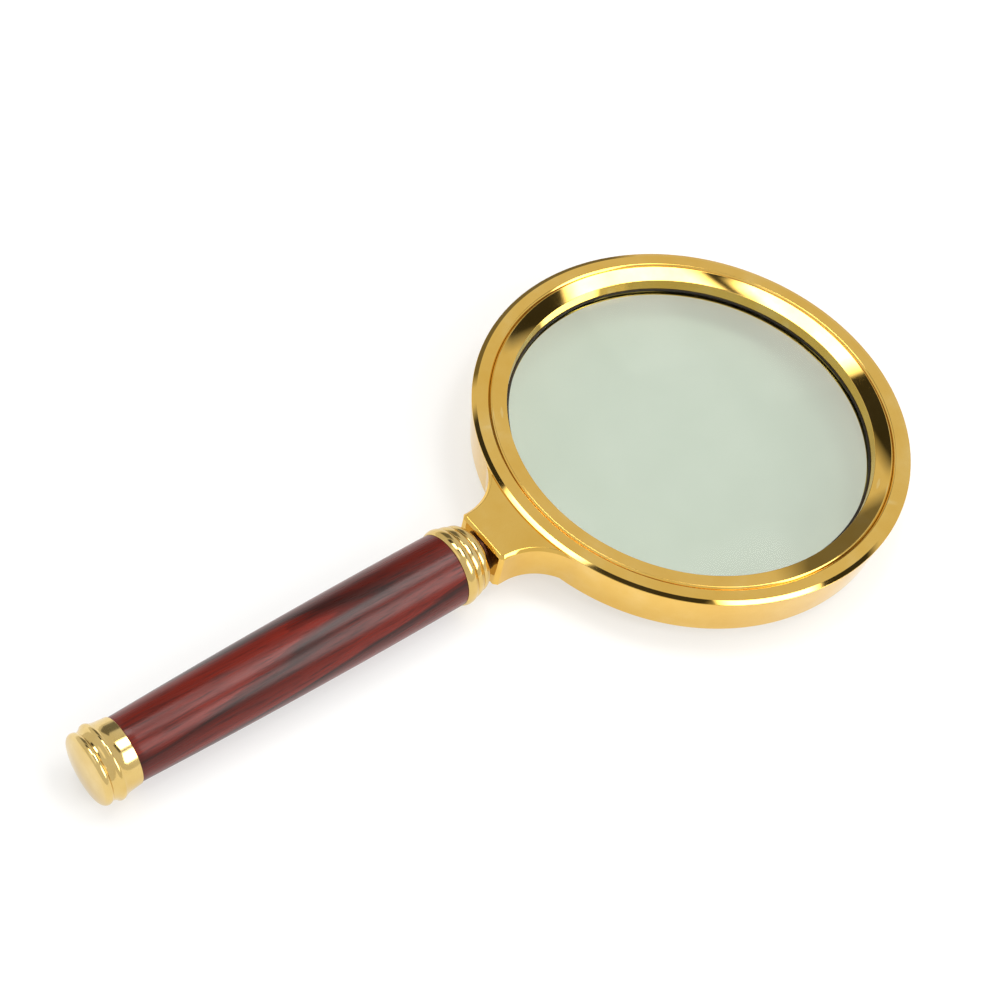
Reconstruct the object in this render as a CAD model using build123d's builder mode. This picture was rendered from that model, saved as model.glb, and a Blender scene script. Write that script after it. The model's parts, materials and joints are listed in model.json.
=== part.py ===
"""Hand magnifier: a gilt lens frame with a flared neck, a biconvex lens held by a
screwed bezel, and a turned rosewood handle clamped on a tie rod that screws into the neck.

Millimetres.  The object lies level: +Z up, the handle along -X.  The origin is the
middle of the bounding box in plan, at the height of the lowest point, which is the
underside of the front ferrule's flange.
"""

from build123d import *
import os
from math import hypot, sqrt

os.makedirs("parts", exist_ok=True)

# ---------------------------------------------------------------- driving dimensions
lens_diameter = 80.0            # ground diameter of the glass
ring_radius = 47.5              # lens frame, outer radius at its front edge
ring_height = 11.2              # lens frame, front face to back face
handle_reach = 148.7            # lens axis to the tip of the domed end button
flange_radius = 8.3             # fattest point of the front ferrule and of the object

# lens
lens_edge = 1.8                 # thickness at the rim
lens_crown = 3.3                # rise of each face above the rim
lens_lift = 0.9                 # glass sits a little forward of the frame's middle

# lens frame, as a section through the ring
back_radius = 46.3              # outer radius at the back: the side wall tapers
bevel_width = 1.0
bevel_height = 0.32
back_chamfer = 0.6
aperture_radius = 39.0          # clear opening behind the glass
back_mouth_radius = 42.4        # the back opening flares out to this
back_land = 0.6                 # straight land behind the glass
lens_clearance = 0.15           # radial play round the glass
bezel_bore = 43.7               # threaded recess for the bezel
bezel_floor = 2.2               # height of that recess's floor above the middle
seat_gap = 0.02                 # working gap between glass and its seats

# bezel and cushion
bezel_play = 0.05
bezel_base = 2.45               # underside of the bezel above the middle
bezel_chamfer = 0.4
lip_radius = 39.9               # the dished face ends at the lip, over the inner wall
lip_drop = 0.95                 # lip below the frame's front face
dish_middle = (41.6, 0.49)      # radius and drop half way across the dished face
wall_foot_radius = 39.45        # foot of the inner wall
cushion_radius = 39.15          # inner radius of the dark seat ring

# neck
neck_end = 57.7                 # lens axis to the neck's end face
neck_half_width = 6.6
neck_half_height = 4.95
neck_flare = 12.0               # radius of the concave flanks
neck_corner = 0.8
neck_chamfer = 0.6
flare_inset = 0.12              # flanks run out just under the ring's side wall

# screw fastening, M5
rod_radius = 2.5
rod_play = 0.05
rod_tip = 49.7                  # lens axis to the rod's tip, 8 mm into the neck
hole_bottom = 48.9
washer_thickness = 0.8
washer_radius = 4.3
washer_play = 0.1
collar_thickness = 1.2
collar_radius = 4.0
rod_end = 147.0
rod_chamfer = 0.6
nut_thickness = 2.0
nut_flats = 8.0
nut_sides = 6
nut_play = 0.03

# handle, as distances from the lens axis
washer_face = neck_end + washer_thickness
ferrule_front = washer_face + collar_thickness
ferrule_floor = 62.25
ferrule_back = 66.2
grip_back = 140.1
cap_floor = 143.4
cap_web = 144.6
cap_back = 146.3
fit_play = 0.05
tenon_radius = 5.7
rear_tenon_radius = 5.0
grip_bore = 2.7
grip_front_radius = 7.8
grip_waist = (106.0, 7.55)
grip_back_radius = 6.62
cap_recess_radius = 5.45
button_skirt = 1.1
button_bore = 4.9
button_hollow = 147.6
button_foot = (cap_back, 7.0)
button_crest = (147.15, 7.3)
dome_rise = 0.75
dome_radius = 6.6

# turned outlines, as reach along the handle and radius
# each rib of the front ferrule: its back edge, its crest and its front edge
ribs = [
    [(ferrule_back, 7.85), (65.0, flange_radius), (63.9, 8.05)],
    [(63.55, 7.8), (62.75, 7.8), (61.95, 7.5)],
    [(61.6, 7.3), (60.85, 7.25), (60.1, 6.85)],
]
groove_depth = 0.4
ferrule_nose = (ferrule_front, 6.5)
# end cap: a plain band that flares into a bead, then a cove in front of the button
cap_rim = (grip_back, 6.9)
band_end = (142.3, 7.1)
band_flare = (143.25, 7.3)
bead_back = (143.85, 7.55)
bead_crest = (144.35, 7.75)
bead_front = (144.85, 7.6)
cap_cove = (145.35, 7.2)
cap_edge = (cap_back, 6.95)

# worked out
lens_radius = lens_diameter / 2
lens_x = (handle_reach - ring_radius) / 2
axis_z = flange_radius
half_height = ring_height / 2
glass_front = lens_lift + lens_edge / 2
glass_back = lens_lift - lens_edge / 2
lens_bore = lens_radius + lens_clearance
lens_curve = (lens_radius**2 + lens_crown**2) / (2 * lens_crown)

# section planes: across the ring (x = radius) and along the handle (x = reach)
centre = (lens_x, 0, axis_z)
ring_section = Plane(origin=centre, x_dir=(1, 0, 0), z_dir=(0, -1, 0))
handle_section = Plane(origin=centre, x_dir=(-1, 0, 0), z_dir=(0, 1, 0))
lens_axis = Axis(centre, (0, 0, 1))
handle_axis = Axis(centre, (-1, 0, 0))


def rise(radius):
    """Height of a lens face above the rim, at a radius."""
    return sqrt(lens_curve**2 - radius**2) - sqrt(lens_curve**2 - lens_radius**2)


def plan(height):
    """Plane across the lens axis, local x along the handle."""
    return Plane(origin=(lens_x, 0, axis_z + height), x_dir=(-1, 0, 0), z_dir=(0, 0, 1))


def across_handle(reach):
    """Plane across the handle, facing its end."""
    return Plane(origin=(lens_x - reach, 0, axis_z), x_dir=(0, 1, 0), z_dir=(-1, 0, 0))


def frame_outline(radius, height, inset=0.0):
    """Disc of a radius that runs into the neck by two tangent concave flanks.

    The inset moves the whole outline in, for a chamfered edge.
    """
    half_width = neck_half_width - inset
    flare = neck_flare + inset
    end = neck_end - inset
    corner = neck_corner - inset * (2 - sqrt(2))
    flank = half_width + flare
    reach = sqrt((radius - inset + flare) ** 2 - flank**2)
    share = (radius - inset) / (radius - inset + flare)
    tangent = (reach * share, flank * share)
    # middle of the flank arc: half way between its two end directions
    toward = (tangent[0] - reach, tangent[1] - flank - flare)
    middle = (
        reach + flare * toward[0] / hypot(*toward),
        flank + flare * toward[1] / hypot(*toward),
    )
    with BuildSketch(plan(height)) as outline:
        with BuildLine():
            ThreePointArc((inset - radius, 0), (0, radius - inset), tangent)
            ThreePointArc(tangent, middle, (reach, half_width))
            Polyline(
                (reach, half_width),
                (end - corner, half_width),
                (end, half_width - corner),
                (end, 0),
            )
            mirror(about=Plane.XZ)
        make_face()
    return outline.sketch


# ------------------------------------------------------------------------ lens frame
wall_top = half_height - bevel_height
wall_slope = (ring_radius - back_radius) / (ring_height - bevel_height)
neck_radius = ring_radius - flare_inset
foot_radius = neck_radius - wall_slope * (wall_top + neck_half_height)
side = neck_half_height - neck_chamfer
neck_levels = [
    frame_outline(foot_radius, -neck_half_height, neck_chamfer),
    frame_outline(foot_radius, -side),
    frame_outline(neck_radius, side),
    frame_outline(neck_radius, neck_half_height, neck_chamfer),
]

with BuildPart() as lens_frame:
    loft(neck_levels, ruled=True)
    with BuildSketch(plan(-half_height)):
        Circle((bezel_bore + back_radius) / 2)
    extrude(amount=ring_height, mode=Mode.SUBTRACT)
    with BuildSketch(ring_section):
        with BuildLine():
            Polyline(
                (ring_radius, wall_top),
                (ring_radius - bevel_width, half_height),
                (bezel_bore + bezel_chamfer, half_height),
                (bezel_bore, half_height - bezel_chamfer),
                (bezel_bore, bezel_floor),
                (lens_bore, bezel_floor),
                (lens_bore, glass_back),
                (aperture_radius, glass_back - rise(aperture_radius) - seat_gap),
                (aperture_radius, glass_back - back_land),
                (back_mouth_radius, -half_height),
                (back_radius - back_chamfer, -half_height),
                (back_radius, back_chamfer - half_height),
                close=True,
            )
        make_face()
    revolve(axis=lens_axis)
    with BuildSketch(across_handle(neck_end)):
        Circle(rod_radius + rod_play)
    extrude(amount=hole_bottom - neck_end, mode=Mode.SUBTRACT)
    mouth = lens_frame.edges().filter_by(GeomType.CIRCLE).filter_by(
        lambda edge: abs(edge.radius - rod_radius - rod_play) < rod_play
    )
    chamfer(mouth.sort_by(Axis.X)[0], rod_chamfer)
lens_frame.part.label = "lens_frame"
export_step(lens_frame.part, "parts/lens_frame.step")

# ------------------------------------------------------------- lens, cushion and bezel
with BuildPart() as lens:
    with BuildSketch(ring_section):
        half_way = lens_radius / 2
        with BuildLine():
            ThreePointArc(
                (0, glass_front + lens_crown),
                (half_way, glass_front + rise(half_way)),
                (lens_radius, glass_front),
            )
            Line((lens_radius, glass_front), (lens_radius, glass_back))
            ThreePointArc(
                (lens_radius, glass_back),
                (half_way, glass_back - rise(half_way)),
                (0, glass_back - lens_crown),
            )
            Line((0, glass_back - lens_crown), (0, glass_front + lens_crown))
        make_face()
    revolve(axis=lens_axis)
lens.part.label = "lens"
export_step(lens.part, "parts/lens.step")

with BuildPart() as lens_cushion:
    with BuildSketch(ring_section):
        with BuildLine():
            Polyline(
                (lens_radius, glass_front + seat_gap),
                (cushion_radius, glass_front + rise(cushion_radius) + seat_gap),
                (cushion_radius, bezel_base),
                (lens_radius, bezel_base),
                close=True,
            )
        make_face()
    revolve(axis=lens_axis)
lens_cushion.part.label = "lens_cushion"
export_step(lens_cushion.part, "parts/lens_cushion.step")

with BuildPart() as lens_bezel:
    bezel_radius = bezel_bore - bezel_play
    with BuildSketch(ring_section):
        with BuildLine():
            Polyline(
                (lip_radius, half_height - lip_drop),
                (wall_foot_radius, bezel_base),
                (bezel_radius, bezel_base),
                (bezel_radius, half_height - bezel_chamfer),
                (bezel_radius - bezel_chamfer, half_height),
            )
            ThreePointArc(
                (bezel_radius - bezel_chamfer, half_height),
                (dish_middle[0], half_height - dish_middle[1]),
                (lip_radius, half_height - lip_drop),
            )
        make_face()
    revolve(axis=lens_axis)
lens_bezel.part.label = "lens_bezel"
export_step(lens_bezel.part, "parts/lens_bezel.step")

# ------------------------------------------------------------------ washer and tie rod
with BuildPart() as neck_washer:
    with BuildSketch(across_handle(neck_end)):
        Circle(washer_radius)
        Circle(rod_radius + washer_play, mode=Mode.SUBTRACT)
    extrude(amount=washer_thickness)
neck_washer.part.label = "neck_washer"
export_step(neck_washer.part, "parts/neck_washer.step")

with BuildPart() as tie_rod:
    with BuildSketch(handle_section):
        with BuildLine():
            Polyline(
                (rod_tip, 0),
                (rod_tip, rod_radius - rod_chamfer),
                (rod_tip + rod_chamfer, rod_radius),
                (washer_face, rod_radius),
                (washer_face, collar_radius),
                (ferrule_front, collar_radius),
                (ferrule_front, rod_radius),
                (rod_end - rod_chamfer, rod_radius),
                (rod_end, rod_radius - rod_chamfer),
                (rod_end, 0),
                close=True,
            )
        make_face()
    revolve(axis=handle_axis)
tie_rod.part.label = "tie_rod"
export_step(tie_rod.part, "parts/tie_rod.step")

# ------------------------------------------------------------------------ front ferrule
with BuildPart() as front_ferrule:
    with BuildSketch(handle_section):
        with BuildLine():
            for number, (back, crest, front) in enumerate(ribs):
                ThreePointArc(back, crest, front)
                if number + 1 < len(ribs):
                    following = ribs[number + 1][0]
                    bottom = ((front[0] + following[0]) / 2, following[1] - groove_depth)
                    Polyline(front, bottom, following)
            Polyline(
                ribs[-1][-1],
                ferrule_nose,
                (ferrule_front, rod_radius + rod_play),
                (ferrule_floor, rod_radius + rod_play),
                (ferrule_floor, tenon_radius + fit_play),
                (ferrule_back, tenon_radius + fit_play),
                ribs[0][0],
            )
        make_face()
    revolve(axis=handle_axis)
front_ferrule.part.label = "front_ferrule"
export_step(front_ferrule.part, "parts/front_ferrule.step")

# -------------------------------------------------------------------------- handle grip
with BuildPart() as handle_grip:
    with BuildSketch(handle_section):
        with BuildLine():
            ThreePointArc(
                (ferrule_back, grip_front_radius),
                grip_waist,
                (grip_back, grip_back_radius),
            )
            Polyline(
                (grip_back, grip_back_radius),
                (grip_back, rear_tenon_radius),
                (cap_floor - fit_play, rear_tenon_radius),
                (cap_floor - fit_play, grip_bore),
                (ferrule_floor + fit_play, grip_bore),
                (ferrule_floor + fit_play, tenon_radius),
                (ferrule_back, tenon_radius),
                (ferrule_back, grip_front_radius),
            )
        make_face()
    revolve(axis=handle_axis)
handle_grip.part.label = "handle_grip"
export_step(handle_grip.part, "parts/handle_grip.step")

# ------------------------------------------------------- end cap, nut and domed button
with BuildPart() as end_cap:
    with BuildSketch(handle_section):
        with BuildLine():
            Line(cap_rim, band_end)
            ThreePointArc(band_end, band_flare, bead_back)
            ThreePointArc(bead_back, bead_crest, bead_front)
            ThreePointArc(bead_front, cap_cove, cap_edge)
            Polyline(
                cap_edge,
                (cap_back, cap_recess_radius),
                (cap_web, cap_recess_radius),
                (cap_web, rod_radius + rod_play),
                (cap_floor, rod_radius + rod_play),
                (cap_floor, rear_tenon_radius + fit_play),
                (grip_back, rear_tenon_radius + fit_play),
                cap_rim,
            )
        make_face()
    revolve(axis=handle_axis)
end_cap.part.label = "end_cap"
export_step(end_cap.part, "parts/end_cap.step")

with BuildPart() as rod_nut:
    with BuildSketch(across_handle(cap_web)):
        RegularPolygon(nut_flats / 2, nut_sides, major_radius=False)
        Circle(rod_radius + nut_play, mode=Mode.SUBTRACT)
    extrude(amount=nut_thickness)
rod_nut.part.label = "rod_nut"
export_step(rod_nut.part, "parts/rod_nut.step")

dome_edge = (handle_reach - dome_rise, dome_radius)
dome_curve = (dome_radius**2 + dome_rise**2) / (2 * dome_rise)
dome_drop = dome_curve - sqrt(dome_curve**2 - (dome_radius / 2) ** 2)
dome_middle = (handle_reach - dome_drop, dome_radius / 2)

with BuildPart() as end_button:
    with BuildSketch(handle_section):
        with BuildLine():
            ThreePointArc(button_foot, button_crest, dome_edge)
            ThreePointArc(dome_edge, dome_middle, (handle_reach, 0))
            Polyline(
                (handle_reach, 0),
                (button_hollow, 0),
                (button_hollow, button_bore),
                (cap_back - button_skirt, button_bore),
                (cap_back - button_skirt, cap_recess_radius - fit_play),
                (cap_back, cap_recess_radius - fit_play),
                button_foot,
            )
        make_face()
    revolve(axis=handle_axis)
end_button.part.label = "end_button"
export_step(end_button.part, "parts/end_button.step")
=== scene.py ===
"""Looks of the hand magnifier: a gold-plated ring and neck, a ground lens under a screwed
bezel, and a turned rosewood handle with pale brass fittings on a threaded steel rod."""

import json
from math import asin, atan2, cos, pi, radians, sin, sqrt, tan

import bpy
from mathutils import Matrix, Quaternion, Vector

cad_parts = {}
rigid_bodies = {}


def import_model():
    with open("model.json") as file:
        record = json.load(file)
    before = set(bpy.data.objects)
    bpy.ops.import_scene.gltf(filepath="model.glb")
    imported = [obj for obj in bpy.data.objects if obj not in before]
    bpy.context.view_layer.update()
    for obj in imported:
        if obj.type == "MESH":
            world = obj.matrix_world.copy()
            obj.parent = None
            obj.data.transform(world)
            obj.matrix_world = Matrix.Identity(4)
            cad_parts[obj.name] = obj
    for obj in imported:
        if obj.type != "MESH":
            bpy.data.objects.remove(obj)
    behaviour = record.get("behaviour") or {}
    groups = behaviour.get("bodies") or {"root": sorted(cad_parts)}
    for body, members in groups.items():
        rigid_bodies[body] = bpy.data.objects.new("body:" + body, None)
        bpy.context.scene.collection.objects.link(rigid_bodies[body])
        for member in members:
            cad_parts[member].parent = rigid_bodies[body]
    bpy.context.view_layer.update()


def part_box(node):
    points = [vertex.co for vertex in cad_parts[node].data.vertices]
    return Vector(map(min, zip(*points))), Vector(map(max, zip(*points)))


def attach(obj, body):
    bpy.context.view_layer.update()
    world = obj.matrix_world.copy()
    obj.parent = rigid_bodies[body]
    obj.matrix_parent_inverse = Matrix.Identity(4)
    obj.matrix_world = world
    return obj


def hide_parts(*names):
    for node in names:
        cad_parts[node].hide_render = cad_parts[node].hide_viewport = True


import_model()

# ------------------------------------------------------------------ sizes, in millimetres
MM = 0.001

lens_low, lens_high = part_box("lens")
rod_low, rod_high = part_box("tie_rod")
ring_low, ring_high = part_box("lens_frame")
lens_x = (lens_low.x + lens_high.x) / 2 / MM
axis_z = (rod_low.z + rod_high.z) / 2 / MM


def reach_of(x):
    """Distance along the handle from the lens axis, of a place on the X axis in metres."""
    return lens_x - x / MM


# lens, its seats and the ring section: radius, and height above the ring's middle
lens_radius = (lens_high.x - lens_low.x) / 2 / MM
lens_edge = 1.8
lens_crown = 3.3
lens_lift = 0.9
ring_radius = (ring_high.y - ring_low.y) / 2 / MM
half_height = (ring_high.z - ring_low.z) / 2 / MM
back_radius = 46.3
bevel_width = 1.0
bevel_height = 0.32
back_chamfer = 0.6
aperture_radius = 39.0
back_mouth_radius = 42.4
back_land = 0.6
lens_bore = lens_radius + 0.15
bezel_bore = 43.7
bezel_floor = 2.2
seat_gap = 0.02
bezel_radius = bezel_bore - 0.05
bezel_base = 2.45
bezel_chamfer = 0.4
lip_radius = 39.9
lip_drop = 0.95
dish_middle = (41.6, 0.49)
wall_foot_radius = 39.45
cushion_radius = 39.15

# neck
neck_end = reach_of(ring_low.x)
neck_half_width = 6.6
neck_half_height = 4.95
neck_flare = 12.0
neck_corner = 0.8
neck_chamfer = 0.6
flare_inset = 0.12

# screw fastening, M5 by 0.8
rod_radius = 2.5
rod_play = 0.05
pitch = 0.8
thread_depth = 0.45
thread_root = 0.1               # how deep the ridge's root bites into its core
thread_start = 0.6              # these four are shares of the pitch
thread_flank = 0.42
thread_flat = 0.1
thread_foot = 0.94
ridge_overrun = 0.2
tap_clearance = 0.5
drill_point = 1.0
drill_overrun = 1.0
hole_bottom = 48.9
rod_tip = reach_of(rod_high.x)
rod_end = reach_of(rod_low.x)
rod_chamfer = 0.6
collar_radius = 4.0
washer_radius = 4.3
washer_bore = 2.6
nut_flats = 8.0
nut_corner_chamfer = 0.35

# handle, as distances from the lens axis
washer_face = reach_of(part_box("neck_washer")[0].x)
ferrule_front = reach_of(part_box("front_ferrule")[1].x)
ferrule_back = reach_of(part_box("front_ferrule")[0].x)
ferrule_floor = 62.25
grip_back = reach_of(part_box("end_cap")[1].x)
cap_floor = 143.4
cap_web = 144.6
cap_back = reach_of(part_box("end_cap")[0].x)
handle_reach = reach_of(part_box("end_button")[0].x)
fit_play = 0.05
tenon_radius = 5.7
rear_tenon_radius = 5.0
grip_bore = 2.7
grip_front_radius = 7.8
grip_waist = (106.0, 7.55)
grip_back_radius = 6.62
cap_recess_radius = 5.45
button_skirt = 1.1
button_bore = 4.9
button_hollow = 147.6
button_foot = (cap_back, 7.0)
button_crest = (147.15, 7.3)
dome_rise = 0.75
dome_radius = 6.6
ribs = [
    [(ferrule_back, 7.85), (65.0, 8.3), (63.9, 8.05)],
    [(63.55, 7.8), (62.75, 7.8), (61.95, 7.5)],
    [(61.6, 7.3), (60.85, 7.25), (60.1, 6.85)],
]
groove_depth = 0.4
ferrule_nose = (ferrule_front, 6.5)
cap_rim = (grip_back, 6.9)
band_end = (142.3, 7.1)
band_flare = (143.25, 7.3)
bead_back = (143.85, 7.55)
bead_crest = (144.35, 7.75)
bead_front = (144.85, 7.6)
cap_cove = (145.35, 7.2)
cap_edge = (cap_back, 6.95)

glass_front = lens_lift + lens_edge / 2
glass_back = lens_lift - lens_edge / 2
lens_curve = (lens_radius**2 + lens_crown**2) / (2 * lens_crown)

# how finely round shapes are divided
ring_steps = 256
handle_steps = 128
thread_steps = 40
hub_steps = 8
flank_steps = 32
dish_steps = 24
lens_steps = 48
grip_steps = 48
rib_steps = 12
flare_steps = 12
bead_steps = 16
dome_steps = 24
weld = 1e-7                     # metres: corners closer than this are one

# how far each piece's sharp edges are broken
neck_edge = 0.08
ring_edge = 0.1
cushion_edge = 0.06
bezel_edge = 0.08
washer_edge = 0.12
rod_edge = 0.1
ferrule_edge = 0.06
grip_edge = 0.15
cap_edge_break = 0.08
button_edge = 0.06
lens_seam = 0.25                # chamfer round the rim of the glass


# ---------------------------------------------------------------------- tools of the bench
def on_ring(radius, height):
    """A point of the section through the ring, on its +X side."""
    return Vector((lens_x + radius, 0, axis_z + height)) * MM


def on_handle(reach, radius):
    """A point of the section along the handle, above its axis."""
    return Vector((lens_x - reach, 0, axis_z + radius)) * MM


def arc(start, middle, end, steps):
    """Points of the arc through three points, without its first point."""
    (ax, ay), (bx, by), (cx, cy) = start, middle, end
    scale = 2 * (ax * (by - cy) + bx * (cy - ay) + cx * (ay - by))
    a, b, c = ax**2 + ay**2, bx**2 + by**2, cx**2 + cy**2
    x = (a * (by - cy) + b * (cy - ay) + c * (ay - by)) / scale
    y = (a * (cx - bx) + b * (ax - cx) + c * (bx - ax)) / scale
    first = atan2(ay - y, ax - x)
    sweep = (atan2(cy - y, cx - x) - first) % (2 * pi)
    to_middle = (atan2(by - y, bx - x) - first) % (2 * pi)
    if to_middle > sweep:
        sweep -= 2 * pi
    radius = sqrt((ax - x) ** 2 + (ay - y) ** 2)
    turns = [first + sweep * step / steps for step in range(1, steps + 1)]
    return [(x + radius * cos(turn), y + radius * sin(turn)) for turn in turns]


def rise(radius):
    """Height of a lens face above its rim, at a radius."""
    return sqrt(lens_curve**2 - radius**2) - sqrt(lens_curve**2 - lens_radius**2)


def put_down():
    """Leaves edit mode with nothing selected."""
    if bpy.context.object and bpy.context.object.mode == "EDIT":
        bpy.ops.object.mode_set(mode="OBJECT")
    bpy.ops.object.select_all(action="DESELECT")


def pick_up(piece):
    put_down()
    piece.select_set(True)
    bpy.context.view_layer.objects.active = piece


def trace(points, closed=True):
    """Draws a thin outline in edit mode, by extruding one corner from point to point."""
    bpy.ops.mesh.select_all(action="DESELECT")
    bpy.ops.mesh.primitive_plane_add(size=MM)
    bpy.ops.mesh.merge(type="CENTER")
    bpy.ops.transform.translate(value=points[0])
    for start, end in zip(points, points[1:]):
        step = {"value": end - start}
        bpy.ops.mesh.extrude_vertices_move(TRANSFORM_OT_translate=step)
    if closed:
        step = {"value": points[0] - points[-1]}
        bpy.ops.mesh.extrude_vertices_move(TRANSFORM_OT_translate=step)
    bpy.ops.mesh.select_linked()
    bpy.ops.mesh.remove_doubles(threshold=weld)


def blank(name):
    """An empty mesh at the origin, open in edit mode."""
    put_down()
    bpy.ops.mesh.primitive_plane_add(size=MM)
    piece = bpy.context.object
    piece.name = piece.data.name = name
    bpy.ops.object.mode_set(mode="EDIT")
    bpy.ops.mesh.delete(type="VERT")
    return piece


def turn(name, outline, centre, axis, steps, closed=True):
    """Turns an outline a full circle about an axis, as on a lathe."""
    piece = blank(name)
    trace(outline, closed)
    bpy.ops.mesh.spin(steps=steps, angle=2 * pi, center=centre, axis=axis)
    bpy.ops.mesh.select_all(action="SELECT")
    bpy.ops.mesh.remove_doubles(threshold=weld)
    bpy.ops.mesh.normals_make_consistent(inside=False)
    put_down()
    return piece


def turn_ring(name, section):
    outline = [on_ring(*point) for point in section]
    return turn(name, outline, on_ring(0, 0), (0, 0, 1), ring_steps)


def turn_handle(name, section, closed=True):
    outline = [on_handle(*point) for point in section]
    return turn(name, outline, on_handle(0, 0), (1, 0, 0), handle_steps, closed)


def apply(piece, kind, **settings):
    """Adds one modifier, sets it and applies it."""
    pick_up(piece)
    modifier = piece.modifiers.new(kind.title(), kind)
    for setting, value in settings.items():
        setattr(modifier, setting, value)
    bpy.ops.object.modifier_apply(modifier=modifier.name)


def ease(piece, width, sharp=25, segments=3):
    """Breaks the sharp edges, as a polishing wheel does, by a width in millimetres."""
    apply(
        piece,
        "BEVEL",
        width=width * MM,
        segments=segments,
        limit_method="ANGLE",
        angle_limit=radians(sharp),
        use_clamp_overlap=True,
    )


def smooth(piece, angle=30):
    """Smooth shading with flats kept flat and corners kept crisp."""
    pick_up(piece)
    bpy.ops.object.shade_smooth_by_angle(angle=radians(angle))
    apply(piece, "WEIGHTED_NORMAL", keep_sharp=True, weight=100)


def cut(piece, tool, operation="DIFFERENCE"):
    """Cuts one piece by another, or joins them, and throws the tool away."""
    apply(piece, "BOOLEAN", object=tool, operation=operation, solver="EXACT")
    pick_up(tool)
    bpy.ops.object.delete()


def pick(piece, wanted):
    """Selects, in edit mode, the corners whose place in millimetres is wanted."""
    bpy.ops.mesh.select_mode(type="VERT")
    bpy.ops.mesh.select_all(action="DESELECT")
    bpy.ops.object.mode_set(mode="OBJECT")
    for vertex in piece.data.vertices:
        vertex.select = wanted(vertex.co / MM)
    bpy.ops.object.mode_set(mode="EDIT")


# --------------------------------------------------------------------- lens frame and neck
wall_top = half_height - bevel_height
wall_slope = (ring_radius - back_radius) / (2 * half_height - bevel_height)
neck_radius = ring_radius - flare_inset
foot_radius = neck_radius - wall_slope * (wall_top + neck_half_height)
side = neck_half_height - neck_chamfer
wall_middle = (bezel_bore + back_radius) / 2


def neck_outline(radius, height, inset):
    """Neck outline at a height: concave flanks that run off the ring, and a blunt end."""
    half_width = neck_half_width - inset
    flare = neck_flare + inset
    end = neck_end - inset
    corner = neck_corner - inset * (2 - sqrt(2))
    flank = half_width + flare
    round_radius = radius - inset
    reach = sqrt((round_radius + flare) ** 2 - flank**2)
    turn_off = asin(flank / (round_radius + flare))
    begin = pi + turn_off
    stop = 3 * pi / 2
    half = []
    for step in range(hub_steps + 1):
        way = turn_off * step / hub_steps
        half.append((wall_middle * cos(way), wall_middle * sin(way)))
    for step in range(flank_steps + 1):
        way = begin + (stop - begin) * step / flank_steps
        half.append((reach + flare * cos(way), flank + flare * sin(way)))
    half += [(end - corner, half_width), (end, half_width - corner)]
    whole = half + [(x, -y) for x, y in reversed(half[1:])]
    return [Vector((lens_x - x, y, axis_z + height)) * MM for x, y in whole]


def make_neck():
    """Four stacked outlines bridged into a slab with chamfered edges."""
    levels = [
        (foot_radius, -neck_half_height, neck_chamfer),
        (foot_radius, -side, 0),
        (neck_radius, side, 0),
        (neck_radius, neck_half_height, neck_chamfer),
    ]
    neck = blank("neck")
    for radius, height, inset in levels:
        trace(neck_outline(radius, height, inset))
    heights = [axis_z + height for _, height, _ in levels]
    near = 0.01
    for low, high in zip(heights, heights[1:]):
        pick(neck, lambda place: min(abs(place.z - low), abs(place.z - high)) < near)
        bpy.ops.mesh.bridge_edge_loops()
    for height in (heights[0], heights[-1]):
        pick(neck, lambda place: abs(place.z - height) < near)
        bpy.ops.mesh.edge_face_add()
    bpy.ops.mesh.select_all(action="SELECT")
    bpy.ops.mesh.normals_make_consistent(inside=False)
    put_down()
    ease(neck, neck_edge)
    return neck


def make_thread(name, start, end, core, crest):
    """One right-hand V ridge wound round the handle's axis, with a root to join its core."""
    inner = core - thread_root
    flank = thread_flank * pitch
    foot = thread_foot * pitch
    turns = int((end - start) / pitch) - 1
    first = lens_x - end + thread_start * pitch
    piece = blank(name)
    section = [(0, inner), (0, core), (flank, crest), (flank + thread_flat * pitch, crest)]
    section += [(foot, core), (foot, inner)]
    trace([Vector((first + along, 0, radius)) * MM for along, radius in section])
    put_down()
    apply(
        piece,
        "SCREW",
        axis="X",
        angle=2 * pi,
        screw_offset=pitch * MM,
        iterations=turns,
        steps=thread_steps,
        render_steps=thread_steps,
        use_merge_vertices=False,
    )
    pick_up(piece)
    bpy.ops.object.mode_set(mode="EDIT")
    bpy.ops.mesh.select_all(action="DESELECT")
    bpy.ops.mesh.select_non_manifold(extend=False)
    bpy.ops.mesh.fill()
    bpy.ops.mesh.select_all(action="SELECT")
    bpy.ops.mesh.normals_make_consistent(inside=False)
    bpy.ops.transform.translate(value=(0, 0, axis_z * MM))
    put_down()
    return piece


def make_frame():
    section = [
        (ring_radius, wall_top),
        (ring_radius - bevel_width, half_height),
        (bezel_bore + bezel_chamfer, half_height),
        (bezel_bore, half_height - bezel_chamfer),
        (bezel_bore, bezel_floor),
        (lens_bore, bezel_floor),
        (lens_bore, glass_back),
        (aperture_radius, glass_back - rise(aperture_radius) - seat_gap),
        (aperture_radius, glass_back - back_land),
        (back_mouth_radius, -half_height),
        (back_radius - back_chamfer, -half_height),
        (back_radius, back_chamfer - half_height),
    ]
    ring = turn_ring("ring_and_neck", section)
    ease(ring, ring_edge)
    cut(ring, make_neck(), "UNION")
    core = rod_radius + rod_play - thread_depth
    mouth = rod_radius + rod_play + rod_chamfer
    outside = neck_end + drill_overrun
    bore = [(outside, 0), (outside, mouth), (neck_end, mouth)]
    bore += [(neck_end - rod_chamfer - thread_depth, core), (hole_bottom + drill_point, core)]
    bore += [(hole_bottom, 0)]
    drill = turn_handle("drill", bore, closed=False)
    cut(ring, drill)
    tap = make_thread("tap", hole_bottom + tap_clearance, outside, core, rod_radius + rod_play)
    cut(ring, tap)
    smooth(ring, 15)    # a low angle keeps the front bevel's edges crisp
    return ring


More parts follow.
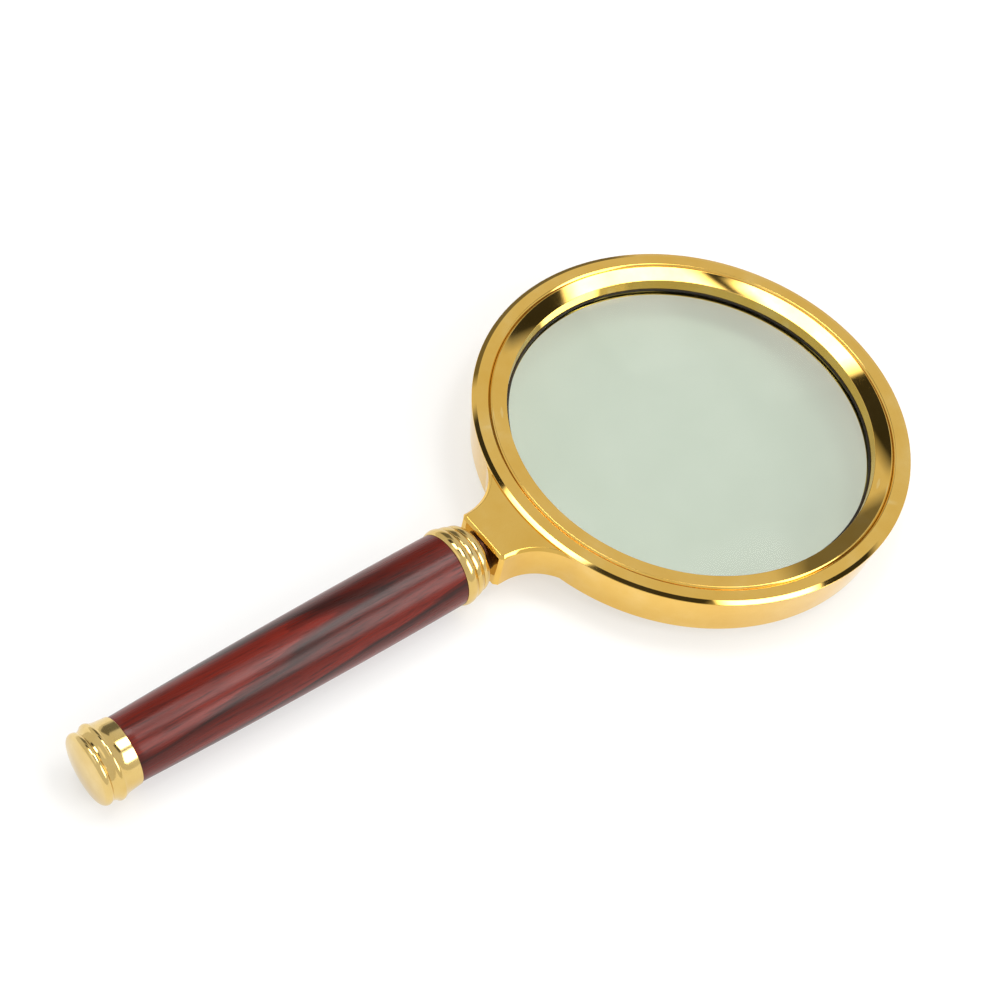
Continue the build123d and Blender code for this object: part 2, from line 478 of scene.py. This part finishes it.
# ------------------------------------------------------------- lens, cushion and bezel
def make_lens():
    half_way = lens_radius / 2
    front = (0, glass_front + lens_crown)
    rim = lens_radius - lens_seam
    section = [front]
    front_middle = (half_way, glass_front + rise(half_way))
    section += arc(front, front_middle, (rim, glass_front + rise(rim)), lens_steps)
    section += [(lens_radius, glass_front - lens_seam), (lens_radius, glass_back + lens_seam)]
    section += [(rim, glass_back - rise(rim))]
    back = (0, glass_back - lens_crown)
    back_middle = (half_way, glass_back - rise(half_way))
    section += arc(section[-1], back_middle, back, lens_steps)
    outline = [on_ring(*point) for point in section]
    glass = turn("ground_lens", outline, on_ring(0, 0), (0, 0, 1), ring_steps, closed=False)
    smooth(glass)
    return glass


def make_cushion():
    top = (cushion_radius, bezel_base)
    foot = glass_front + rise(cushion_radius) + seat_gap
    section = [(lens_radius, glass_front + seat_gap), (cushion_radius, foot), top]
    section += [(lens_radius, bezel_base)]
    cushion = turn_ring("seat_ring", section)
    ease(cushion, cushion_edge)
    smooth(cushion)
    return cushion


def make_bezel():
    rim = (bezel_radius - bezel_chamfer, half_height)
    middle = (dish_middle[0], half_height - dish_middle[1])
    lip = (lip_radius, half_height - lip_drop)
    section = [
        (wall_foot_radius, bezel_base),
        (bezel_radius, bezel_base),
        (bezel_radius, half_height - bezel_chamfer),
        rim,
    ]
    section += arc(rim, middle, lip, dish_steps)
    bezel = turn_ring("screwed_bezel", section)
    ease(bezel, bezel_edge)
    smooth(bezel)
    return bezel


# ------------------------------------------------------------------- rod, washer and nut
def make_washer():
    section = [(neck_end, washer_bore), (neck_end, washer_radius)]
    section += [(washer_face, washer_radius), (washer_face, washer_bore)]
    washer = turn_handle("thrust_washer", section)
    ease(washer, washer_edge)
    smooth(washer)
    return washer


def make_rod():
    core = rod_radius - thread_depth
    section = [
        (rod_tip, 0),
        (rod_tip, core - rod_chamfer / 2),
        (rod_tip + rod_chamfer / 2, core),
        (neck_end - thread_depth, core),
        (neck_end, rod_radius),
        (washer_face, rod_radius),
        (washer_face, collar_radius),
        (ferrule_front, collar_radius),
        (ferrule_front, rod_radius),
        (rod_end - rod_chamfer, rod_radius),
        (rod_end, rod_radius - rod_chamfer),
        (rod_end, 0),
    ]
    rod = turn_handle("threaded_rod", section, closed=False)
    ease(rod, rod_edge)
    begin = rod_tip - ridge_overrun
    ridge = make_thread("ridge", begin, neck_end + ridge_overrun, core, rod_radius)
    cut(rod, ridge, "UNION")
    smooth(rod)
    return rod


def make_nut():
    """A six-sided blank whose corners are turned down to cones at both faces."""
    low, high = (reach_of(x) for x in (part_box("rod_nut")[1].x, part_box("rod_nut")[0].x))
    corner = nut_flats / 2 / cos(pi / 6)
    put_down()
    bpy.ops.mesh.primitive_cylinder_add(
        vertices=6,
        radius=corner * MM,
        depth=(high - low) * MM,
        location=on_handle((low + high) / 2, 0),
    )
    nut = bpy.context.object
    nut.name = nut.data.name = "hex_nut"
    nut.rotation_euler = (0, pi / 2, 0)
    bpy.ops.object.transform_apply(location=True, rotation=True, scale=True)
    cone = corner - nut_corner_chamfer
    hole = rod_radius + rod_play
    section = [(low, hole), (low, cone), (low + nut_corner_chamfer, corner)]
    section += [(high - nut_corner_chamfer, corner), (high, cone), (high, hole)]
    cut(nut, turn_handle("cone", section), "INTERSECT")
    smooth(nut)
    return nut


# ---------------------------------------------------------------------- turned handle parts
def make_ferrule():
    section = []
    for number, (back, crest, front) in enumerate(ribs):
        section += [back, *arc(back, crest, front, rib_steps)]
        if number + 1 < len(ribs):
            following = ribs[number + 1][0]
            section += [((front[0] + following[0]) / 2, following[1] - groove_depth)]
    section += [
        ferrule_nose,
        (ferrule_front, rod_radius + rod_play),
        (ferrule_floor, rod_radius + rod_play),
        (ferrule_floor, tenon_radius + fit_play),
        (ferrule_back, tenon_radius + fit_play),
    ]
    ferrule = turn_handle("ribbed_ferrule", section)
    ease(ferrule, ferrule_edge)
    smooth(ferrule)
    return ferrule


def make_grip():
    front = (ferrule_back, grip_front_radius)
    section = [front, *arc(front, grip_waist, (grip_back, grip_back_radius), grip_steps)]
    section += [
        (grip_back, rear_tenon_radius),
        (cap_floor - fit_play, rear_tenon_radius),
        (cap_floor - fit_play, grip_bore),
        (ferrule_floor + fit_play, grip_bore),
        (ferrule_floor + fit_play, tenon_radius),
        (ferrule_back, tenon_radius),
    ]
    grip = turn_handle("turned_grip", section)
    ease(grip, grip_edge)
    smooth(grip)
    return grip


def make_cap():
    section = [cap_rim, band_end]
    section += arc(band_end, band_flare, bead_back, flare_steps)
    section += arc(bead_back, bead_crest, bead_front, bead_steps)
    section += arc(bead_front, cap_cove, cap_edge, flare_steps)
    section += [
        (cap_back, cap_recess_radius),
        (cap_web, cap_recess_radius),
        (cap_web, rod_radius + rod_play),
        (cap_floor, rod_radius + rod_play),
        (cap_floor, rear_tenon_radius + fit_play),
        (grip_back, rear_tenon_radius + fit_play),
    ]
    cap = turn_handle("beaded_cap", section)
    ease(cap, cap_edge_break)
    smooth(cap)
    return cap


def make_button():
    dome_edge = (handle_reach - dome_rise, dome_radius)
    dome_curve = (dome_radius**2 + dome_rise**2) / (2 * dome_rise)
    drop = dome_curve - sqrt(dome_curve**2 - (dome_radius / 2) ** 2)
    tip = (handle_reach, 0)
    section = [(button_hollow, 0), (button_hollow, button_bore)]
    section += [(cap_back - button_skirt, button_bore)]
    section += [(cap_back - button_skirt, cap_recess_radius - fit_play)]
    section += [(cap_back, cap_recess_radius - fit_play), button_foot]
    section += arc(button_foot, button_crest, dome_edge, bead_steps)
    section += arc(dome_edge, (handle_reach - drop, dome_radius / 2), tip, dome_steps)
    button = turn_handle("domed_button", section, closed=False)
    ease(button, button_edge)
    smooth(button)
    return button


# ------------------------------------------------------------------------------ materials
def colour(code, alpha=1.0):
    """A linear colour from an sRGB hex code."""
    shares = [int(code[i : i + 2], 16) / 255 for i in (1, 3, 5)]
    linear = [s / 12.92 if s <= 0.04045 else ((s + 0.055) / 1.055) ** 2.4 for s in shares]
    return (*linear, alpha)


def add(tree, kind, inputs=None, stops=None, **settings):
    """Adds one node: its settings, the stops of its ramp, and its inputs set or linked."""
    made = tree.nodes.new(kind)
    for setting, value in settings.items():
        setattr(made, setting, value)
    if stops:
        ramp = made.color_ramp.elements
        while len(ramp) < len(stops):
            ramp.new(0.5)
        for element, (place, code) in zip(ramp, stops):
            element.position = place
            element.color = colour(code)
    for slot, value in (inputs or {}).items():
        if isinstance(value, bpy.types.NodeSocket):
            tree.links.new(value, made.inputs[slot])
        else:
            made.inputs[slot].default_value = value
    return made


def new_material(name):
    """A material with an empty tree, and its output node."""
    material = bpy.data.materials.new(name)
    material.use_nodes = True
    material.node_tree.nodes.clear()
    output = material.node_tree.nodes.new("ShaderNodeOutputMaterial")
    return material, material.node_tree, output


def per_mm(size):
    """Noise scale, in object metres, of a pattern whose features are size millimetres."""
    return 1 / (size * MM)


def gold_plate():
    """Gold plate on a cast alloy, mirror polished and then handled.

    The eye sees a deep yellow mirror, slightly uneven like orange peel, a little duller
    where fingers have been, and paler on the edges where the plate is rubbed.
    """
    material, tree, output = new_material("gold_plate_polished")
    place = add(tree, "ShaderNodeTexCoord").outputs["Object"]
    handled = add(
        tree, "ShaderNodeTexNoise", {"Vector": place, "Scale": per_mm(14), "Detail": 5.0, "Roughness": 0.6}
    ).outputs["Fac"]
    plate = add(
        tree,
        "ShaderNodeValToRGB",
        {"Fac": handled},
        stops=[(0.3, "#e7b956"), (0.55, "#ecc265"), (0.75, "#f0cc7b")],
    ).outputs["Color"]
    point = add(tree, "ShaderNodeNewGeometry").outputs["Pointiness"]
    rubbed = add(
        tree,
        "ShaderNodeMapRange",
        {"Value": point, "From Min": 0.53, "From Max": 0.6, "To Max": 0.4},
    ).outputs["Result"]
    face = add(
        tree,
        "ShaderNodeMix",
        {"Factor": rubbed},
        data_type="RGBA",
    )
    # by number, because a mix node has an A and a B for each kind of data
    tree.links.new(plate, face.inputs[6])
    face.inputs[7].default_value = colour("#f6dd9c")
    dull = add(
        tree,
        "ShaderNodeMapRange",
        {"Value": handled, "From Min": 0.35, "From Max": 0.8, "To Min": 0.025, "To Max": 0.08},
    ).outputs["Result"]
    peel = add(
        tree, "ShaderNodeTexNoise", {"Vector": place, "Scale": per_mm(3.5), "Detail": 1.0}
    ).outputs["Fac"]
    bump = add(
        tree, "ShaderNodeBump", {"Height": peel, "Strength": 0.05, "Distance": 0.02 * MM}
    ).outputs["Normal"]
    shader = add(
        tree,
        "ShaderNodeBsdfPrincipled",
        {"Base Color": face.outputs[2], "Metallic": 1.0, "Roughness": dull, "Normal": bump},
    )
    tree.links.new(shader.outputs[0], output.inputs["Surface"])
    return material


def brass_turned():
    """Pale lacquered brass, turned on a lathe and buffed: fine rings round the handle."""
    material, tree, output = new_material("pale_brass_turned")
    place = add(tree, "ShaderNodeTexCoord").outputs["Object"]
    tint = add(
        tree, "ShaderNodeTexNoise", {"Vector": place, "Scale": per_mm(6), "Detail": 4.0}
    ).outputs["Fac"]
    face = add(
        tree,
        "ShaderNodeValToRGB",
        {"Fac": tint},
        stops=[(0.3, "#d8b76c"), (0.6, "#e0c380"), (0.8, "#e8d096")],
    ).outputs["Color"]
    # only the distance along the handle changes the lathe's rings, 0.12 mm apart
    along = add(
        tree, "ShaderNodeMapping", {"Vector": place, "Scale": (1.0, 0.02, 0.02)}
    ).outputs["Vector"]
    lines = add(
        tree, "ShaderNodeTexNoise", {"Vector": along, "Scale": per_mm(0.12), "Detail": 2.0}
    ).outputs["Fac"]
    dull = add(
        tree,
        "ShaderNodeMapRange",
        {"Value": lines, "From Min": 0.3, "From Max": 0.7, "To Min": 0.08, "To Max": 0.17},
    ).outputs["Result"]
    bump = add(
        tree, "ShaderNodeBump", {"Height": lines, "Strength": 0.15, "Distance": 0.01 * MM}
    ).outputs["Normal"]
    shader = add(
        tree,
        "ShaderNodeBsdfPrincipled",
        {"Base Color": face, "Metallic": 1.0, "Roughness": dull, "Normal": bump},
    )
    tree.links.new(shader.outputs[0], output.inputs["Surface"])
    return material


def rosewood():
    """Dark rosewood, turned along the grain and sealed with satin lacquer.

    The growth rings run out of the barrel at a slant, so they show as nested tongues; dark
    pores are short lines along the grain; the lacquer lays a soft broad sheen over them.
    """
    material, tree, output = new_material("rosewood_lacquered")
    place = add(tree, "ShaderNodeTexCoord").outputs["Object"]
    # the tree's pith lies about 26 mm below the barrel's axis and slopes away to the rear
    grain = add(
        tree,
        "ShaderNodeMapping",
        {"Vector": place, "Location": (0.0, 0.004, 0.014), "Rotation": (0.0, radians(4.5), radians(2))},
    ).outputs["Vector"]
    flow = add(
        tree, "ShaderNodeMapping", {"Vector": grain, "Scale": (0.07, 1.0, 1.0)}
    ).outputs["Vector"]
    sway = add(
        tree, "ShaderNodeTexNoise", {"Vector": flow, "Scale": per_mm(7), "Detail": 3.0, "Roughness": 0.55}
    ).outputs["Color"]
    push = add(
        tree,
        "ShaderNodeVectorMath",
        {0: sway, 1: (0.5, 0.5, 0.5)},
        operation="SUBTRACT",
    ).outputs["Vector"]
    bent = add(
        tree,
        "ShaderNodeVectorMath",
        {0: push, 1: (0.0, 0.005, 0.005), 2: grain},
        operation="MULTIPLY_ADD",
    ).outputs["Vector"]
    rings = add(
        tree,
        "ShaderNodeTexWave",
        {"Vector": bent, "Scale": per_mm(18), "Distortion": 1.5, "Detail": 2.0, "Detail Scale": 0.6},
        wave_type="RINGS",
        rings_direction="X",
        wave_profile="SAW",
    ).outputs["Fac"]
    wood = add(
        tree,
        "ShaderNodeValToRGB",
        {"Fac": rings},
        stops=[(0.0, "#782013"), (0.4, "#6d1c0f"), (0.68, "#57160c"), (0.88, "#34100a"), (1.0, "#66190e")],
    ).outputs["Color"]
    fibre_place = add(
        tree, "ShaderNodeMapping", {"Vector": grain, "Scale": (0.025, 1.0, 1.0)}
    ).outputs["Vector"]
    fibre = add(
        tree,
        "ShaderNodeTexNoise",
        {"Vector": fibre_place, "Scale": per_mm(0.45), "Detail": 3.0, "Roughness": 0.6},
    ).outputs["Fac"]
    streak = add(
        tree,
        "ShaderNodeValToRGB",
        {"Fac": fibre},
        stops=[(0.3, "#4a4a4a"), (0.48, "#d8d8d8"), (0.7, "#ffffff")],
    ).outputs["Color"]
    face = add(
        tree,
        "ShaderNodeMix",
        {"Factor": 0.75},
        data_type="RGBA",
        blend_type="MULTIPLY",
    )
    tree.links.new(wood, face.inputs[6])
    tree.links.new(streak, face.inputs[7])
    dull = add(
        tree,
        "ShaderNodeMapRange",
        {"Value": fibre, "From Min": 0.3, "From Max": 0.7, "To Min": 0.34, "To Max": 0.25},
    ).outputs["Result"]
    bump = add(
        tree, "ShaderNodeBump", {"Height": fibre, "Strength": 0.25, "Distance": 0.03 * MM}
    ).outputs["Normal"]
    shader = add(
        tree,
        "ShaderNodeBsdfPrincipled",
        {
            "Base Color": face.outputs[2],
            "Roughness": dull,
            "IOR": 1.5,
            "Specular IOR Level": 0.22,
            "Coat Weight": 0.16,
            "Coat Roughness": 0.2,
            "Normal": bump,
        },
    )
    tree.links.new(shader.outputs[0], output.inputs["Surface"])
    return material


def lens_glass():
    """Crown glass, ground, polished and bloomed against glare, with a faint green cast."""
    material, tree, output = new_material("crown_glass_polished")
    place = add(tree, "ShaderNodeTexCoord").outputs["Object"]
    breath = add(
        tree, "ShaderNodeTexNoise", {"Vector": place, "Scale": per_mm(18), "Detail": 4.0}
    ).outputs["Fac"]
    cast = add(
        tree,
        "ShaderNodeValToRGB",
        {"Fac": breath},
        stops=[(0.35, "#d6ddd5"), (0.7, "#dbe1da")],
    ).outputs["Color"]
    dull = add(
        tree,
        "ShaderNodeMapRange",
        {"Value": breath, "From Min": 0.5, "From Max": 0.85, "To Min": 0.0, "To Max": 0.008},
    ).outputs["Result"]
    wave = add(
        tree, "ShaderNodeBump", {"Height": breath, "Strength": 0.004, "Distance": 0.01 * MM}
    ).outputs["Normal"]
    # the bloom kills the weak mirror image seen face on, and nothing at a glancing angle
    glance = add(tree, "ShaderNodeFresnel", {"IOR": 1.52}).outputs["Fac"]
    solid = add(
        tree,
        "ShaderNodeBsdfPrincipled",
        {
            "Base Color": cast,
            "Roughness": dull,
            "IOR": 1.52,
            "Transmission Weight": 1.0,
            "Specular Tint": glance,
            "Normal": wave,
        },
    )
    # lamps shine straight through the lens, and so does light that has already bounced
    # more than twice
    clear = add(tree, "ShaderNodeBsdfTransparent", {"Color": colour("#e3ebe0")})
    path = add(tree, "ShaderNodeLightPath")
    tired = add(
        tree, "ShaderNodeMath", {0: path.outputs["Ray Depth"], 1: 2.5}, operation="GREATER_THAN"
    ).outputs[0]
    straight = add(
        tree, "ShaderNodeMath", {0: path.outputs["Is Shadow Ray"], 1: tired}, operation="MAXIMUM"
    ).outputs[0]
    mix = add(
        tree,
        "ShaderNodeMixShader",
        {0: straight, 1: solid.outputs[0], 2: clear.outputs[0]},
    )
    tree.links.new(mix.outputs[0], output.inputs["Surface"])
    return material


def black_rubber():
    """Moulded black rubber, dusty in its pores."""
    material, tree, output = new_material("black_rubber_moulded")
    place = add(tree, "ShaderNodeTexCoord").outputs["Object"]
    grain = add(
        tree, "ShaderNodeTexNoise", {"Vector": place, "Scale": per_mm(0.5), "Detail": 4.0}
    ).outputs["Fac"]
    face = add(
        tree,
        "ShaderNodeValToRGB",
        {"Fac": grain},
        stops=[(0.35, "#17120c"), (0.7, "#2a2218")],
    ).outputs["Color"]
    bump = add(
        tree, "ShaderNodeBump", {"Height": grain, "Strength": 0.4, "Distance": 0.02 * MM}
    ).outputs["Normal"]
    shader = add(
        tree,
        "ShaderNodeBsdfPrincipled",
        {"Base Color": face, "Roughness": 0.75, "Normal": bump},
    )
    tree.links.new(shader.outputs[0], output.inputs["Surface"])
    return material


def steel_browned_and_shaded():
    """Mild steel bar, turned and then browned in hot oil: near black, with red-brown stains; this dark
    colour also paints the shade of the gap round the washer at the neck.
    """
    material, tree, output = new_material("browned_steel_turned_gap_shade")
    place = add(tree, "ShaderNodeTexCoord").outputs["Object"]
    stain_and_gap_shade = add(
        tree, "ShaderNodeTexNoise", {"Vector": place, "Scale": per_mm(3), "Detail": 5.0}
    ).outputs["Fac"]
    # painted shade: these near-black, red-brown stops also stand in for the shaded gap between the neck
    # and the ferrule
    face = add(
        tree,
        "ShaderNodeValToRGB",
        {"Fac": stain_and_gap_shade},
        stops=[(0.3, "#2e1a13"), (0.5, "#452a20"), (0.75, "#5b3a2d")],
    ).outputs["Color"]
    along = add(
        tree, "ShaderNodeMapping", {"Vector": place, "Scale": (1.0, 0.02, 0.02)}
    ).outputs["Vector"]
    lines = add(
        tree, "ShaderNodeTexNoise", {"Vector": along, "Scale": per_mm(0.1), "Detail": 2.0}
    ).outputs["Fac"]
    dull = add(
        tree,
        "ShaderNodeMapRange",
        {"Value": stain_and_gap_shade, "From Min": 0.3, "From Max": 0.7, "To Min": 0.34, "To Max": 0.2},
    ).outputs["Result"]
    bump = add(
        tree, "ShaderNodeBump", {"Height": lines, "Strength": 0.3, "Distance": 0.01 * MM}
    ).outputs["Normal"]
    shader = add(
        tree,
        "ShaderNodeBsdfPrincipled",
        {"Base Color": face, "Metallic": 1.0, "Roughness": dull, "Normal": bump},
    )
    tree.links.new(shader.outputs[0], output.inputs["Surface"])
    return material


# ------------------------------------------------------------------------- floor and light
def lit_floor():
    """A sheet of lit white acrylic under the object, so that shadows stay faint."""
    material, tree, output = new_material("white_acrylic_lit")
    place = add(tree, "ShaderNodeTexCoord").outputs["Object"]
    haze = add(
        tree, "ShaderNodeTexNoise", {"Vector": place, "Scale": 3.0, "Detail": 2.0}
    ).outputs["Fac"]
    face = add(
        tree,
        "ShaderNodeValToRGB",
        {"Fac": haze},
        stops=[(0.0, "#b3b3b2"), (1.0, "#b6b6b5")],
    ).outputs["Color"]
    shader = add(
        tree,
        "ShaderNodeBsdfPrincipled",
        {
            "Base Color": face,
            "Roughness": 0.8,
            "Specular IOR Level": 0.0,
            "Emission Color": (1.0, 1.0, 1.0, 1.0),
            "Emission Strength": 0.5,
        },
    )
    tree.links.new(shader.outputs[0], output.inputs["Surface"])
    put_down()
    bpy.ops.mesh.primitive_plane_add(size=4.0, location=(0, 0, 0))
    floor = bpy.context.object
    floor.name = "acrylic_floor"
    floor.data.materials.append(material)


def toward(azimuth, elevation):
    """Unit vector: azimuth in degrees from +X towards +Y, elevation above the floor."""
    a, e = radians(azimuth), radians(elevation)
    return Vector((cos(a) * cos(e), sin(a) * cos(e), sin(e)))


# softboxes and black flags round the table: where, half width, half height, brightness
room_light = 0.78
boxes = [
    (-62, 36, 13, 15, 5.5),
    (78, 73, 10, 9, 8.0),
    (-12, 67, 12, 9, 8.0),
    (176, 56, 18, 9, 1.2),
    (25, 77, 14, 15, 0.05),
    (80, 55, 13, 9, 0.04),
    (-12, 51, 13, 7, 0.04),
    (62, 25, 16, 16, 0.2),
]


def studio():
    """A grey room with softboxes and black flags, painted on the world."""
    world = bpy.data.worlds.new("studio")
    world.use_nodes = True
    bpy.context.scene.world = world
    tree = world.node_tree
    tree.nodes.clear()
    way = add(tree, "ShaderNodeTexCoord").outputs["Generated"]
    level = None
    soft = 0.03         # tangent of the half width of each box's fading edge
    least = 0.02        # keeps the division by the distance ahead away from zero
    for azimuth, elevation, half_wide, half_high, brightness in boxes:
        ahead = toward(azimuth, elevation)
        right = toward(azimuth + 90, 0)
        above = ahead.cross(right)
        along = [
            add(tree, "ShaderNodeVectorMath", {0: way, 1: axis}, operation="DOT_PRODUCT").outputs["Value"]
            for axis in (ahead, right, above)
        ]
        front = add(tree, "ShaderNodeMath", {0: along[0], 1: least}, operation="MAXIMUM").outputs[0]
        share = None
        for value, half in zip(along[1:], (half_wide, half_high)):
            slope = add(tree, "ShaderNodeMath", {0: value, 1: front}, operation="DIVIDE").outputs[0]
            off = add(tree, "ShaderNodeMath", {0: slope}, operation="ABSOLUTE").outputs[0]
            edge = tan(radians(half))
            inside = add(
                tree,
                "ShaderNodeMapRange",
                {"Value": off, "From Min": edge + soft, "From Max": edge - soft},
            ).outputs["Result"]
            share = inside if share is None else add(
                tree, "ShaderNodeMath", {0: share, 1: inside}, operation="MULTIPLY"
            ).outputs[0]
        change = add(
            tree, "ShaderNodeMath", {0: share, 1: brightness - room_light}, operation="MULTIPLY"
        ).outputs[0]
        level = change if level is None else add(
            tree, "ShaderNodeMath", {0: level, 1: change}, operation="ADD"
        ).outputs[0]
    total = add(tree, "ShaderNodeMath", {0: level, 1: room_light}, operation="ADD").outputs[0]
    shade = add(tree, "ShaderNodeBackground", {"Color": (1.0, 0.99, 0.97, 1.0), "Strength": total})
    add(tree, "ShaderNodeOutputWorld", {"Surface": shade.outputs[0]})


def place_camera():
    """Looks down the handle from beyond the end cap, turned a little to the left."""
    eye = Vector((-0.1884, -0.1526, 0.3311))
    aim = Vector((0.0048, 0.0077, 0.0083))
    roll = radians(14.80)
    put_down()
    bpy.ops.object.camera_add(location=eye)
    camera = bpy.context.object
    camera.data.lens = 72
    camera.data.sensor_width = 36
    camera.data.clip_start = 0.01
    camera.data.clip_end = 20
    camera.rotation_mode = "QUATERNION"
    level = (aim - eye).to_track_quat("-Z", "Y")
    camera.rotation_quaternion = level @ Quaternion((0, 0, 1), roll)
    bpy.context.scene.camera = camera


# -------------------------------------------------------------------------------- assembly
bpy.context.scene.view_settings.view_transform = "Standard"
place_camera()
lit_floor()
studio()

gold = gold_plate()
brass = brass_turned()
wood = rosewood()
glass = lens_glass()
rubber = black_rubber()
steel = steel_browned_and_shaded()

assembly = [
    (make_frame, "lens_frame", "frame", "gilt_frame", gold),
    (make_bezel, "lens_bezel", "frame", "gilt_frame", gold),
    (make_cushion, "lens_cushion", "frame", "black_rubber", rubber),
    (make_lens, "lens", "frame", "lens_glass", glass),
    (make_washer, "neck_washer", "washer", "steel", steel),
    (make_rod, "tie_rod", "handle", "steel", steel),
    (make_ferrule, "front_ferrule", "handle", "brass_fittings", brass),
    (make_grip, "handle_grip", "handle", "rosewood", wood),
    (make_cap, "end_cap", "handle", "brass_fittings", brass),
    (make_nut, "rod_nut", "handle", "steel", steel),
    (make_button, "end_button", "handle", "brass_fittings", brass),
]
for make, node, body, slot, finish in assembly:
    piece = make()
    piece.data.materials.clear()
    piece.data.materials.append(finish)
    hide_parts(node)
    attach(piece, body)
put_down()
